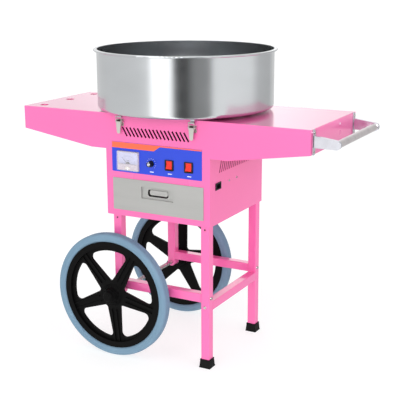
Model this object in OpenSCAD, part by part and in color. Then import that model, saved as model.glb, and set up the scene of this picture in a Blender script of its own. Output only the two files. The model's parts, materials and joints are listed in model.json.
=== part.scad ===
// Cotton candy cart: a candy floss machine on a wheeled stand with a shelf on each side.
// Millimetres, +Z up, floor at z = 0, operator's side towards -Y.

/* [Housing] */
// Width of the housing, left to right
housing_w = 331; // [326:1:336]
// Depth of the housing, front to back
housing_d = 335.4; // [331.4:0.5:339.4]
// Height of the housing's lower edge above the floor
housing_z = 415; // [410:1:420]
// Height of the housing, lower edge to deck
housing_h = 292; // [290:1:296]
// Thickness of the folded steel sheet
sheet = 1.5; // [1.2:0.1:1.8]
// Height of the drawer opening's lower edge above the housing's lower edge
drawer_up = 17.5; // [16:0.5:20]

/* [Shelves] */
// Distance from the machine's axis to each shelf's end
shelf_reach = 450; // [440:1:470]
// Depth of a shelf's side where it meets the housing
shelf_root_h = 101.6; // [95:0.2:104]
// Depth of a shelf's side at its free end
shelf_end_h = 66; // [60:1:72]
// Length of the level stretch of a shelf's lower edge
shelf_level = 50; // [40:1:70]
// Diameter of the holes that hold paper cones
cone_hole_d = 25; // [20:1:32]

/* [Bowl] */
// Diameter over the bowl's wall
bowl_d = 502; // [480:2:506]
// Diameter over the rolled rim
rim_d = 520; // [512:2:524]
// Height of the bowl's floor above the deck
bowl_gap = 7; // [6.5:0.5:10]
// Height of the rim above the bowl's floor
bowl_h = 165.4; // [150:0.2:180]
// Thickness of the bowl's sheet
bowl_sheet = 1.2; // [1:0.1:1.5]
// Radius of the bowl's lower edge
bowl_edge_r = 10; // [8:1:22]

/* [Stand] */
// Width of the square tube of legs and rails
tube = 25.4; // [24:0.2:26]
// Wall of the square tube
tube_wall = 1.6; // [1.5:0.1:2]
// Distance from the machine's axis to the right legs' outer face
right_leg_x = 161; // [160:0.5:164]
// Distance from the machine's axis to the left legs' outer face
left_leg_x = 148; // [146:0.5:152]
// Distance from the machine's axis to the legs' front and back faces
leg_y = 165; // [163:0.5:166]
// Height of the front and back rails' lower face
rail_z = 193.6; // [190:0.2:200]
// Height of the rubber feet
foot_h = 25.5; // [20:0.5:30]

/* [Wheels] */
// Diameter of the tyres
wheel_d = 366; // [360:1:370]
// Width of the tyres
tyre_w = 33; // [31:1:35]
// Radius of the plastic rim's edge
rim_edge_r = 159; // [157:0.5:161]
// Distance from the machine's axis to the tyres' outer faces
wheel_y = 213; // [213:0.5:218]
// Diameter of the steel axle
axle_d = 12; // [12:0.5:12.5]
// Number of spokes
spokes = 5; // [4:1:6]

/* [Handle] */
// Distance from the shelf's end to the handle tube's axis
handle_out = 63; // [58:1:70]
// Height of the handle tube's axis
handle_z = 671; // [668:1:674]
// Diameter of the handle tube
handle_d = 20; // [19:0.5:21]
// Distance from the machine's axis to each bracket's middle
handle_y = 151; // [145:1:155]

/* [Spinner] */
// Diameter of the spinner head's base
head_d = 136; // [120:2:140]
// Height of the spinner head's base above the deck
head_up = 61; // [55:1:64]
// Height of the heater band
band_h = 27; // [24:1:30]

/* [Hidden] */
$fn = 48;

// Overlap that lets a cut run past the face it opens
cut = 1;

// The model's middle in X lies midway between the left shelf's end and the handle
handle_lug_r = 12;
axis_x = -(handle_out + handle_lug_r) / 2;

// Housing levels and faces
hx = housing_w / 2;
hy = housing_d / 2;
deck_z = housing_z + housing_h;
wall_top = deck_z - sheet;

// Folded-in flanges that take the back panel's screws, and the bolts that hold the shelves
back_flange = 14;
back_screw_x = hx - sheet - back_flange / 2;
back_screw_z = [housing_z + 25, wall_top - 25];
shelf_bolt_y = 140;
shelf_bolt_z = deck_z - 40;

// Drawer
drawer_x = 1.5;
drawer_front_w = 290;
drawer_front_h = 92.5;
drawer_front_t = 1.5;
drawer_gap = 0.4;
drawer_z = housing_z + drawer_up;
opening_w = 281;
opening_h = 85.2;
opening_z = drawer_z + 3;
tray_w = 275;
tray_d = 285;
tray_h = 80;
tray_t = 1.2;
tray_z = opening_z + 2.2;
pull_w = 107;
pull_h = 38;
pull_z = drawer_z + 57.5;
pull_hole_w = 66;
pull_hole_h = 20;
pull_depth = 14;

// Control panel
panel_x = -1.8;
panel_w = 287;
panel_h = 85;
panel_t = 1;
panel_z = 543;
panel_face = hy + panel_t;
meter_x = -90.5;
meter_z = 576;
meter_w = 70;
meter_h = 55;
meter_drum_r = 25;
meter_deep = 8;
needle_z = meter_z - 10;
switch_x = [40.8, 101.3];
switch_z = 576;
switch_w = 27;
switch_h = 30;
rocker_w = 18;
rocker_tilt = 8;
rocker_in = 5.6;
rocker_pin_x = 10.4;
rocker_pin_r = 1.5;
switch_cut_w = 23;
switch_cut_h = 26;
knob_x = -16.6;
knob_z = 575;
knob_r = 8;
knob_h = 14;
knob_hole_r = 4;

// Vent slots
vent_pitch = 12.2;
vent_w = 5.4;
front_vents = 17;
front_vent_x = -4;
front_vent_z = 658;
front_vent_l = 29;
front_vent_lean = 31;
back_vent_z = 462;
back_vent_l = 44;
side_vents = 18;
side_vent_z = 577;
side_vent_h = 43;
side_vent_lean = 21;

// Power inlet on the right side
inlet_y = -119.8;
inlet_z = 522;
inlet_w = 32.5;
inlet_h = 20;

// Cone holes in the left shelf and the brackets' screws in the right one
cone_hole_in = 43;
cone_hole_y = 128;
bracket_screw_z = [handle_z - 22, handle_z + 27];

// Stand
leg_cy = leg_y - tube / 2;
right_cx = right_leg_x - tube / 2;
left_cx = -left_leg_x + tube / 2;
axle_z = wheel_d / 2;
foot_floor = 3;
spigot_h = 30;
side_rail_z = rail_z - tube;
screw_r = 3;
screw_head_r = 5;
screw_head_h = 3;
leg_screw_z = housing_z - 9;

// Wheels, each drawn about its own axis with its outer side upwards
wheel_mid = wheel_y - tyre_w / 2;
axle_r = axle_d / 2;
bore_r = axle_r + 0.05;
barrel_r = 152;
barrel_in_r = 142;
barrel_half = 12;
lip_t = 2.5;
web_half = 4;
window_out_r = 132;
window_in_r = 42;
window_corner_r = 14;
window_tip_r = 8;
spoke_w = 29;
hub_out = 24;
hub_in = wheel_mid - leg_y - 2.5;
nut_pocket = 14;
cap_out = 33.5;
cap_r = 15;
front_phase = -84;
back_phase = 84;

// Bowl and latches
bowl_z = deck_z + bowl_gap;
bowl_top = bowl_z + bowl_h;
bowl_hole_r = 82;
latch_x = 115;
latch_y = hy + 6;
latch_z = 687;
lever_w = 14.6;
lever_l = 34;
pin_r = 1.5;
wire_r = 1;
bail_out = 3.2;
bail_down = 4.5;
bail_rise = 19;
bail_lean = 1.4;
bail_x = 8.4;
ear_x = 9.7;

// Spinner and motor
shaft_r = 5;
head_z = deck_z + head_up;
head_r = head_d / 2;
lid_z = head_z + 2 + band_h;
neck_r = 30;
neck_h = 31;
bracket_z = deck_z - 31;
bracket_t = 3;
motor_r = 48;
motor_l = 110;
mount_r = 84;
mount_angles = [90, 210, 330];
bolt_r = 3;
mount_d = 20;

function polar(r, a) = [r * cos(a), r * sin(a)];

module on_axis() {
    translate([axis_x, 0, 0]) children();
}

module box(x0, x1, y0, y1, z0, z1) {
    translate([x0, y0, z0]) cube([x1 - x0, y1 - y0, z1 - z0]);
}

// A rectangle with true round corners
module round_rect(w, h, r) {
    square([w - 2 * r, h], center = true);
    square([w, h - 2 * r], center = true);
    for (x = [-1, 1], y = [-1, 1]) translate([x * (w / 2 - r), y * (h / 2 - r)]) circle(r);
}

// A plate that stands facing the front: its outline is in X and Z, from y0 back to y1
module front_plate(x, z, y0, y1) {
    translate([x, y1, z]) rotate([90, 0, 0]) linear_extrude(y1 - y0) children();
}

// A cylinder along X, Y or Z from one point
module rod_x(x0, x1, y, z, r) {
    translate([x0, y, z]) rotate([0, 90, 0]) cylinder(h = x1 - x0, r = r);
}

module rod_y(x, y0, y1, z, r) {
    translate([x, y0, z]) rotate([-90, 0, 0]) cylinder(h = y1 - y0, r = r);
}

module rod_z(x, y, z0, z1, r) {
    translate([x, y, z0]) cylinder(h = z1 - z0, r = r);
}

module ring(r_out, r_in, z0, z1) {
    translate([0, 0, z0]) difference() {
        cylinder(h = z1 - z0, r = r_out);
        translate([0, 0, -cut]) cylinder(h = z1 - z0 + 2 * cut, r = r_in);
    }
}

// ---- Housing ----

module front_vent_slots() {
    for (i = [0 : front_vents - 1])
        translate([front_vent_x + (i - (front_vents - 1) / 2) * vent_pitch, -hy, front_vent_z])
            rotate([0, -front_vent_lean, 0]) cube([vent_w, 12, front_vent_l], center = true);
}

module side_vent_slots() {
    for (i = [0 : side_vents - 1])
        translate([0, (i - (side_vents - 1) / 2) * vent_pitch, side_vent_z])
            rotate([-side_vent_lean, 0, 0]) cube([2 * hx + 12, vent_w, side_vent_h], center = true);
}

module switch_cutouts(y0, y1) {
    for (x = switch_x) box(x - switch_cut_w / 2, x + switch_cut_w / 2, y0, y1,
        switch_z - switch_cut_h / 2, switch_z + switch_cut_h / 2);
}

// Front wall, both side walls, rear flanges and a lower return flange, folded from one sheet
module housing_shell() {
    on_axis() color("hotpink") difference() {
        union() {
            box(-hx, hx, -hy, -hy + sheet, housing_z, wall_top);
            for (s = [-1, 1]) {
                translate([s * (hx - sheet / 2) - sheet / 2, -hy, housing_z])
                    cube([sheet, housing_d, wall_top - housing_z]);
                translate([s * back_screw_x - back_flange / 2, hy - 2 * sheet, housing_z + sheet])
                    cube([back_flange, sheet, wall_top - housing_z - sheet]);
            }
        }
        box(drawer_x - opening_w / 2, drawer_x + opening_w / 2, -hy - cut, -hy + sheet + cut,
            opening_z, opening_z + opening_h);
        front_vent_slots();
        side_vent_slots();
        rod_y(meter_x, -hy - cut, -hy + sheet + cut, meter_z, meter_drum_r + 0.5);
        rod_y(knob_x, -hy - cut, -hy + sheet + cut, knob_z, knob_hole_r);
        switch_cutouts(-hy - cut, -hy + sheet + cut);
        box(hx - sheet - cut, hx + cut, inlet_y - 14, inlet_y + 14, inlet_z - 8.5, inlet_z + 8.5);
        for (x = [-1, 1], z = back_screw_z) rod_y(x * back_screw_x, hy - 5, hy, z, 1.9);
        for (s = [-1, 1], y = [-1, 1])
            rod_x(s * hx - 4, s * hx + 4, y * shelf_bolt_y, shelf_bolt_z, screw_r + 0.1);
    }
}

// Deck with a raised neck that keeps sugar away from the shaft
module top_deck() {
    on_axis() color("hotpink") difference() {
        union() {
            box(-hx, hx, -hy, hy, wall_top, deck_z);
            rod_z(0, 0, deck_z - cut, deck_z + neck_h, neck_r);
        }
        rod_z(0, 0, wall_top - cut, deck_z + neck_h + cut, neck_r - 1.5);
        for (a = mount_angles) translate(polar(mount_r, a))
            rod_z(0, 0, wall_top - cut, deck_z + cut, bolt_r + 0.1);
    }
}

// Bottom of the housing, with the spigots that carry the leg tubes
module base_plate() {
    spigot = tube - 2 * tube_wall - 0.2;
    on_axis() color("hotpink") difference() {
        union() {
            box(-hx + sheet, hx - sheet, -hy + sheet, hy - sheet, housing_z, housing_z + sheet);
            for (x = [left_cx, right_cx], y = [-1, 1])
                translate([x, y * leg_cy, housing_z - spigot_h])
                    linear_extrude(spigot_h + cut) round_rect(spigot, spigot, 1);
        }
        for (x = [left_cx, right_cx], y = [-1, 1])
            rod_y(x, y * leg_cy - 13, y * leg_cy + 13, leg_screw_z, 2.5);
        for (i = [-4 : 4])
            box(i * 22 - 3, i * 22 + 3, -60, 60, housing_z - cut, housing_z + sheet + cut);
    }
}

module back_panel() {
    on_axis() color("hotpink") difference() {
        box(-hx + sheet, hx - sheet, hy - sheet, hy, housing_z + sheet, wall_top);
        for (i = [-8 : 8]) translate([i * vent_pitch, hy, back_vent_z]) rotate([0, -front_vent_lean, 0])
            cube([vent_w, 8, back_vent_l], center = true);
        for (x = [-1, 1], z = back_screw_z) rod_y(x * back_screw_x, hy - 3, hy + cut, z, 2.2);
    }
}

// ---- Control panel ----

module control_panel() {
    on_axis() color("royalblue") difference() {
        front_plate(panel_x, panel_z + panel_h / 2, -panel_face, -hy)
            round_rect(panel_w, panel_h, 2);
        rod_y(meter_x, -panel_face - cut, -hy + cut, meter_z, meter_drum_r + 0.5);
        rod_y(knob_x, -panel_face - cut, -hy + cut, knob_z, knob_hole_r);
        switch_cutouts(-panel_face - cut, -hy + cut);
    }
}

// Drum behind the panel, flange in front of it, and the skirt over the movement
module meter_case() {
    flange_t = 2.5;
    skirt_h = 17;
    on_axis() color("ivory") difference() {
        union() {
            rod_y(meter_x, -panel_face, -panel_face + 30, meter_z, meter_drum_r);
            front_plate(meter_x, meter_z, -panel_face - flange_t, -panel_face)
                round_rect(meter_w, meter_h, 2.5);
            box(meter_x - 32, meter_x + 32, -panel_face - meter_deep + 1.6, -panel_face - meter_deep + 3.2,
                meter_z - 25, meter_z - 25 + skirt_h);
            for (x = [-1, 1])
                translate([meter_x + x * 30 - 2, -panel_face - meter_deep + 2, meter_z - 25])
                    cube([4, meter_deep - 4, 8]);
        }
        rod_y(meter_x, -panel_face - flange_t - cut, -panel_face - flange_t + 2, needle_z, 3.4);
    }
}

module meter_dial() {
    on_axis() color("white") difference() {
        box(meter_x - 31, meter_x + 31, -panel_face - 3, -panel_face - 2.5, meter_z - 15, meter_z + 24);
        rod_y(meter_x, -panel_face - 4, -panel_face - 2, needle_z, 3.4);
    }
}

// Clear moulded cover, hollow, open at the back
module meter_window() {
    wall = 1.5;
    on_axis() color([0.85, 0.85, 0.95, 0.4]) difference() {
        front_plate(meter_x, meter_z, -panel_face - meter_deep, -panel_face - 2.5)
            round_rect(meter_w, meter_h, 2.5);
        box(meter_x - meter_w / 2 + wall, meter_x + meter_w / 2 - wall,
            -panel_face - meter_deep + wall, -panel_face,
            meter_z - meter_h / 2 + wall, meter_z + meter_h / 2 - wall);
    }
}

// Pointer on its hub, resting at the left end of the scale
module meter_needle() {
    rest = 45;
    y_back = -panel_face - 1;
    hub_l = 3.4;
    blade_t = 0.5;
    on_axis() color("black") union() {
        rod_y(meter_x, y_back - hub_l, y_back, needle_z, 3);
        translate([meter_x, y_back - hub_l + blade_t, needle_z]) rotate([90, -rest, 0])
            linear_extrude(blade_t) polygon([[-0.9, -6], [0.9, -6], [0.3, 27], [-0.3, 27]]);
    }
}

// Bezels and bodies of the two rocker switches
module switch_housings() {
    on_axis() color([0.07, 0.07, 0.08]) for (x = switch_x) difference() {
        union() {
            front_plate(x, switch_z, -panel_face - 2.4, -panel_face) round_rect(switch_w, switch_h, 2);
            box(x - 11.2, x + 11.2, -panel_face - cut, -panel_face + 22, switch_z - 12.8, switch_z + 12.8);
        }
        box(x - rocker_w / 2 - 0.4, x + rocker_w / 2 + 0.4, -panel_face - 3, -panel_face + 12,
            switch_z - 12.4, switch_z + 12.4);
        rod_x(x - rocker_pin_x - 0.2, x + rocker_pin_x + 0.2, -panel_face + rocker_in, switch_z,
            rocker_pin_r + 0.1);
        for (z = [-8, 0, 8]) box(x - 3, x + 3, -panel_face + 20, -panel_face + 23,
            switch_z + z - 0.6, switch_z + z + 0.6);
    }
}

// A rocker with a pin at each side, drawn about its pivot and tilted to its "off" side
module rocker(x) {
    on_axis() color("red") translate([x, -panel_face + rocker_in, switch_z]) rotate([-rocker_tilt, 0, 0]) {
        translate([-rocker_w / 2, 0, 0]) rotate([90, 0, 90]) linear_extrude(rocker_w)
            polygon([[-6.4, 0], [-7.2, 5], [-8.6, 11], [-2, 11.4], [5, 5], [6, 0],
                [5, -5], [-2, -11.4], [-8.6, -11], [-7.2, -5]]);
        rod_x(-rocker_pin_x, rocker_pin_x, 0, 0, rocker_pin_r);
    }
}

module rocker_heat() {
    rocker(switch_x[0]);
}

module rocker_motor() {
    rocker(switch_x[1]);
}

// Heat control knob with its shaft
module knob() {
    grips = 12;
    on_axis() color([0.07, 0.07, 0.08]) translate([knob_x, -panel_face - 0.6, knob_z]) rotate([90, 0, 0])
        difference() {
            union() {
                cylinder(h = 2.5, r = knob_r + 1);
                cylinder(h = knob_h, r1 = knob_r, r2 = knob_r - 1);
                translate([0, 0, -16]) cylinder(h = 17, r = 3);
            }
            for (i = [0 : grips - 1]) rotate([0, 0, i * 360 / grips]) translate([knob_r, 0, 3.5])
                cylinder(h = knob_h, r = 1);
            translate([0, 0, knob_h - 1]) cylinder(h = 2, r = 4.5);
            translate([-0.6, 5, knob_h - 0.8]) cube([1.2, 5, 2]);
        }
}

// Heat control board with the potentiometer that the knob turns
module control_board() {
    y0 = -hy + sheet;
    on_axis() color("seagreen") difference() {
        union() {
            rod_y(knob_x, y0, y0 + 12, knob_z, 8.5);
            box(knob_x - 40, knob_x + 36, y0 + 12, y0 + 13.6, knob_z - 30, knob_z + 30);
            box(knob_x - 34, knob_x - 14, y0 + 13.6, y0 + 34, knob_z - 24, knob_z + 10);
            rod_y(knob_x + 14, y0 + 13.6, y0 + 32, knob_z + 14, 8);
            box(knob_x + 2, knob_x + 30, y0 + 13.6, y0 + 24, knob_z - 26, knob_z - 14);
        }
        rod_y(knob_x, y0 - cut, y0 + 15, knob_z, 3.05);
    }
}

// Mains inlet: flange outside, socket with three blades inside
module power_inlet() {
    on_axis() color([0.08, 0.08, 0.09]) {
        difference() {
            union() {
                box(hx, hx + 2, inlet_y - inlet_w / 2, inlet_y + inlet_w / 2,
                    inlet_z - inlet_h / 2, inlet_z + inlet_h / 2);
                box(hx - 20, hx + cut, inlet_y - 13.7, inlet_y + 13.7, inlet_z - 8.2, inlet_z + 8.2);
            }
            box(hx - 16, hx + 3, inlet_y - 12, inlet_y + 12, inlet_z - 6.5, inlet_z + 6.5);
        }
        for (y = [-7, 0, 7]) box(hx - 28, hx - 5, inlet_y + y - 1, inlet_y + y + 1,
            inlet_z - (y == 0 ? -0.5 : 3.5), inlet_z + (y == 0 ? 4.5 : 0.5));
    }
}

// ---- Shelves ----

// Side view of a shelf: level beside the housing, then rising towards its end
module shelf_side() {
    polygon([[hx, deck_z], [shelf_reach, deck_z], [shelf_reach, deck_z - shelf_end_h],
        [hx + shelf_level, deck_z - shelf_root_h], [hx, deck_z - shelf_root_h]]);
}

module shelf_side_inner() {
    polygon([[hx + sheet, deck_z - sheet], [shelf_reach - sheet, deck_z - sheet],
        [shelf_reach - sheet, deck_z - shelf_end_h - 5], [hx + shelf_level, deck_z - shelf_root_h - 5],
        [hx + sheet, deck_z - shelf_root_h - 5]]);
}

// Folded tray, open below, with a turned-in flange along its lower edges
module shelf() {
    flange = 12;
    difference() {
        rotate([90, 0, 0]) translate([0, 0, -hy]) linear_extrude(housing_d) shelf_side();
        rotate([90, 0, 0]) translate([0, 0, -hy + sheet]) linear_extrude(housing_d - 2 * sheet)
            shelf_side_inner();
        for (y = [-1, 1]) rod_x(hx - cut, hx + sheet + cut, y * shelf_bolt_y, shelf_bolt_z, screw_r + 0.1);
    }
    for (y = [-1, 1]) {
        translate([hx + sheet, y * (hy - sheet - flange / 2) - flange / 2, deck_z - shelf_root_h])
            cube([shelf_level - sheet, flange, sheet]);
        rotate([90, 0, 0]) translate([0, 0, y * (hy - sheet - flange / 2) - flange / 2])
            linear_extrude(flange) polygon([
                [hx + shelf_level, deck_z - shelf_root_h],
                [shelf_reach - sheet, deck_z - shelf_end_h - sheet / 7],
                [shelf_reach - sheet, deck_z - shelf_end_h + sheet],
                [hx + shelf_level, deck_z - shelf_root_h + sheet]]);
    }
}

// The left shelf's walls and flanges, below its top plate
module left_shelf() {
    on_axis() color("hotpink") difference() {
        mirror([1, 0, 0]) shelf();
        box(-shelf_reach - cut, -hx + cut, -hy - cut, hy + cut, wall_top, deck_z + cut);
    }
}

// Top plate of the left shelf, with a row of holes for paper cones
module left_shelf_top() {
    on_axis() color("hotpink") difference() {
        box(-shelf_reach, -hx, -hy, hy, wall_top, deck_z);
        for (y = [-1, 0, 1])
            rod_z(-shelf_reach + cone_hole_in, y * cone_hole_y, wall_top - cut, deck_z + cut, cone_hole_d / 2);
    }
}

module right_shelf() {
    on_axis() color("hotpink") difference() {
        shelf();
        for (y = [-1, 1], z = bracket_screw_z)
            rod_x(shelf_reach - 4, shelf_reach + cut, y * handle_y, z, 2.2);
    }
}

// ---- Handle ----

module handle_tube() {
    on_axis() color("silver") difference() {
        rod_y(shelf_reach + handle_out, -handle_y + 1, handle_y - 1, handle_z, handle_d / 2);
        rod_y(shelf_reach + handle_out, -handle_y - cut, handle_y + cut, handle_z, handle_d / 2 - 1.5);
    }
}

// Plate with two screw ears, and an arm that narrows to a round end with a socket for the tube
module handle_bracket() {
    plate_t = 3;
    plate_w = 18;
    arm_t = 10;
    arm_root = 29;
    ear_bottom = bracket_screw_z[0] - handle_z;
    ear_top = bracket_screw_z[1] - handle_z;
    difference() {
        union() {
            translate([0, 0, handle_z]) rotate([90, 0, 90]) linear_extrude(plate_t) {
                translate([-plate_w / 2, ear_bottom]) square([plate_w, ear_top - ear_bottom]);
                translate([0, ear_top]) circle(plate_w / 2);
                translate([0, ear_bottom]) circle(plate_w / 2);
            }
            translate([0, arm_t / 2, handle_z]) rotate([90, 0, 0]) linear_extrude(arm_t) {
                polygon([[plate_t - 1, -11], [handle_out, -handle_lug_r], [handle_out, handle_lug_r],
                    [plate_t - 1, arm_root - 9]]);
                translate([handle_out, 0]) circle(handle_lug_r);
            }
        }
        translate([handle_out, -1, handle_z]) rotate([-90, 0, 0]) cylinder(h = arm_t, r = handle_d / 2);
        for (z = bracket_screw_z) rod_x(-cut, plate_t + cut, 0, z, 2.2);
    }
}

module handle_brackets() {
    on_axis() color("silver") {
        translate([shelf_reach, -handle_y, 0]) handle_bracket();
        translate([shelf_reach, handle_y, 0]) mirror([0, 1, 0]) handle_bracket();
    }
}

// ---- Stand ----

module tube_outline() {
    difference() {
        round_rect(tube, tube, 2);
        round_rect(tube - 2 * tube_wall, tube - 2 * tube_wall, 0.6);
    }
}

// Holes in a leg for its top screw and for the screws of the rails
module leg_holes(cx, side) {
    translate([cx, side * leg_cy, leg_screw_z]) rotate([side * -90, 0, 0]) cylinder(h = tube, r = screw_r);
    rod_x(cx - tube, cx + tube, side * leg_cy, rail_z + tube / 2, screw_r + 0.2);
}

// A right leg stands on its foot and takes the side rail
module right_leg(side) {
    on_axis() color("hotpink") difference() {
        translate([right_cx, side * leg_cy, foot_floor])
            linear_extrude(housing_z - foot_floor) tube_outline();
        leg_holes(right_cx, side);
        rod_y(right_cx, side * leg_cy - tube, side * leg_cy + tube, side_rail_z + tube / 2, screw_r + 0.2);
    }
}

// A left leg ends in a solid round eye that holds the axle
module left_leg(side) {
    solid_h = 8;
    tube_z = axle_z + solid_h;
    on_axis() color("hotpink") difference() {
        union() {
            translate([left_cx, side * leg_cy, tube_z]) linear_extrude(housing_z - tube_z) tube_outline();
            translate([left_cx - tube / 2, side * leg_cy - tube / 2, axle_z]) cube([tube, tube, solid_h]);
            rod_y(left_cx, side * leg_cy - tube / 2, side * leg_cy + tube / 2, axle_z, tube / 2);
        }
        leg_holes(left_cx, side);
        rod_y(left_cx, side * leg_cy - tube, side * leg_cy + tube, axle_z, axle_r);
    }
}

module leg_front_left() {
    left_leg(-1);
}

module leg_back_left() {
    left_leg(1);
}

module leg_front_right() {
    right_leg(-1);
}

module leg_back_right() {
    right_leg(1);
}

// A square tube with a threaded plug in each end, drawn along Z from the origin
module rail(length) {
    plug = 14;
    linear_extrude(length) tube_outline();
    for (z = [0, length - plug]) translate([0, 0, z]) difference() {
        linear_extrude(plug) square(tube - 2 * tube_wall, center = true);
        translate([0, 0, -cut]) cylinder(h = plug + 2 * cut, r = screw_r);
    }
}

module long_rail(side) {
    on_axis() color("hotpink") translate([left_cx + tube / 2, side * leg_cy, rail_z + tube / 2])
        rotate([0, 90, 0]) rail(right_cx - left_cx - tube);
}

module long_rails() {
    long_rail(-1);
    long_rail(1);
}

module side_rail() {
    on_axis() color("hotpink") translate([right_cx, -leg_cy + tube / 2, side_rail_z + tube / 2])
        rotate([-90, 0, 0]) rail(2 * leg_cy - tube);
}

// Rubber caps that flare towards the floor
module foot_caps() {
    on_axis() color([0.06, 0.06, 0.06]) for (y = [-1, 1]) translate([right_cx, y * leg_cy, 0]) difference() {
        hull() {
            translate([0, 0, foot_h - 1]) linear_extrude(1) square(tube + 4, center = true);
            translate([0, 0, 4]) linear_extrude(1) square(tube + 5, center = true);
            linear_extrude(1) square(tube + 8, center = true);
        }
        translate([-tube / 2, -tube / 2, foot_floor]) cube([tube, tube, foot_h]);
    }
}

// A button-head screw along +Z, its head below the origin
module button_screw(length) {
    difference() {
        union() {
            cylinder(h = length, r = screw_r - 0.05);
            translate([0, 0, -screw_head_h])
                cylinder(h = screw_head_h, r1 = screw_head_r - 1.5, r2 = screw_head_r);
        }
        translate([0, 0, -screw_head_h - 0.1]) cylinder(h = 2, r = 2, $fn = 6);
    }
}

// Screws through the legs into the rails, and the short screws that hold the legs on their spigots
module leg_screws() {
    rail_screw = tube + 12;
    on_axis() color("silver") for (y = [-1, 1]) {
        translate([right_leg_x, y * leg_cy, rail_z + tube / 2]) rotate([0, -90, 0]) button_screw(rail_screw);
        translate([-left_leg_x, y * leg_cy, rail_z + tube / 2]) rotate([0, 90, 0]) button_screw(rail_screw);
        translate([right_cx, y * leg_y, side_rail_z + tube / 2]) rotate([y * 90, 0, 0])
            button_screw(rail_screw);
        for (x = [left_cx, right_cx])
            translate([x, y * (leg_y - tube_wall - 0.3), leg_screw_z]) rotate([y * 90, 0, 0])
                cylinder(h = 9, r = 2.4);
        for (s = [-1, 1])
            translate([s * (hx + sheet), y * shelf_bolt_y, shelf_bolt_z]) rotate([0, -s * 90, 0])
                button_screw(9);
    }
}

// Pan-head screws of the back panel, the housing's side and the handle brackets
module pan_screws() {
    on_axis() color("gainsboro") {
        for (x = [-1, 1], z = back_screw_z) {
            rod_y(x * back_screw_x, hy - 4.5, hy + 0.5, z, 1.85);
            translate([x * back_screw_x, hy, z]) rotate([-90, 0, 0]) cylinder(h = 2.2, r1 = 4, r2 = 2.8);
        }
        for (y = [-52, -5]) translate([hx, y, inlet_z + 2]) rotate([0, 90, 0])
            cylinder(h = 1.6, r1 = 3.4, r2 = 2.4);
        for (y = [-1, 1], z = bracket_screw_z) {
            rod_x(shelf_reach - 4, shelf_reach + 3.5, y * handle_y, z, 2.15);
            translate([shelf_reach + 3, y * handle_y, z]) rotate([0, 90, 0])
                cylinder(h = 2.4, r1 = 4, r2 = 2.6);
        }
    }
}

module screws() {
    leg_screws();
    pan_screws();
}

// ---- Wheels ----

module axle() {
    axle_half = wheel_mid + 26;
    on_axis() color("silver") rod_y(left_cx, -axle_half, axle_half, axle_z, axle_r);
}

// Washers against the legs, and washer and nut in each hub's pocket
module axle_nuts() {
    pocket = wheel_mid + nut_pocket;
    on_axis() color("silver") for (s = [-1, 1]) translate([left_cx, 0, axle_z]) rotate([s * -90, 0, 0]) {
        ring(13, axle_r, leg_y, leg_y + 2);
        ring(10, axle_r, pocket + 0.4, pocket + 2);
        difference() {
            translate([0, 0, pocket + 2]) cylinder(h = 7, r = 10, $fn = 6);
            translate([0, 0, pocket]) cylinder(h = 12, r = axle_r);
        }
    }
}

// Cross-section of the solid tyre: bead between the rim's lips, then the full rounded width
module tyre_profile() {
    bead_half = barrel_half - lip_t - 0.2;
    side_r = 9;
    depth = wheel_d / 2 - rim_edge_r - 0.3;
    difference() {
        union() {
            translate([barrel_r + 0.02, -bead_half]) square([12, 2 * bead_half]);
            translate([rim_edge_r + 0.3 + depth / 2, 0]) round_rect(depth, tyre_w, side_r);
        }
        for (y = [-5.5, 5.5]) translate([wheel_d / 2, y]) circle(1);
    }
}

module tyre() {
    rotate_extrude($fn = 96) tyre_profile();
}

// Rounded window between two spokes, widest at the rim
module window_cutter() {
    half_angle = 180 / spokes - asin((spoke_w / 2 + window_corner_r) / (window_out_r - window_corner_r));
    hull() {
        for (a = [-1 : 0.25 : 1]) translate(polar(window_out_r - window_corner_r, a * half_angle))
            cylinder(h = 40, r = window_corner_r, center = true, $fn = 32);
        translate([window_in_r + window_tip_r, 0, 0])
            cylinder(h = 40, r = window_tip_r, center = true, $fn = 32);
    }
}

module rim_ring_profile() {
    translate([barrel_in_r, -barrel_half]) square([barrel_r - barrel_in_r, 2 * barrel_half]);
    translate([barrel_r - cut, barrel_half - lip_t]) square([rim_edge_r - barrel_r + cut, lip_t]);
    translate([barrel_r - cut, -barrel_half]) square([rim_edge_r - barrel_r + cut, lip_t]);
}

// Moulded rim with a web, raised ribs along every spoke and a long hub
module rim(phase) {
    rib_r = 45;
    rib_l = barrel_in_r - rib_r;
    rotate([0, 0, phase]) difference() {
        union() {
            rotate_extrude($fn = 96) rim_ring_profile();
            ring(barrel_in_r + cut, 15, -web_half, web_half);
            for (i = [0 : spokes - 1]) rotate([0, 0, i * 360 / spokes]) for (s = [-1, 1])
                translate([rib_r, s * 7.5 - 1.8, web_half - cut]) cube([rib_l, 3.6, 5]);
            translate([0, 0, web_half - cut]) cylinder(h = 8, r1 = 34, r2 = 27);
            translate([0, 0, web_half]) cylinder(h = hub_out - web_half, r1 = 27, r2 = 20);
            translate([0, 0, -hub_in]) cylinder(h = hub_in, r = 20);
            translate([0, 0, -web_half - 8]) cylinder(h = 9, r1 = 27, r2 = 34);
        }
        for (i = [0 : spokes - 1]) rotate([0, 0, (i + 0.5) * 360 / spokes]) window_cutter();
        translate([0, 0, -hub_in - cut]) cylinder(h = hub_in + hub_out + 2 * cut, r = bore_r);
        translate([0, 0, nut_pocket]) cylinder(h = hub_out, r = 12.6);
    }
}

// Cap pressed into the hub's pocket over the axle's end
module hub_cap() {
    difference() {
        union() {
            translate([0, 0, nut_pocket + 0.2]) cylinder(h = hub_out - nut_pocket, r = 12.5);
            translate([0, 0, hub_out]) cylinder(h = 7, r1 = 17, r2 = cap_r);
            translate([0, 0, hub_out + 7]) cylinder(h = cap_out - hub_out - 7, r1 = cap_r, r2 = cap_r - 3);
        }
        translate([0, 0, nut_pocket - cut]) cylinder(h = cap_out - nut_pocket - 2 + cut, r = 11.2);
    }
}

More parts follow.
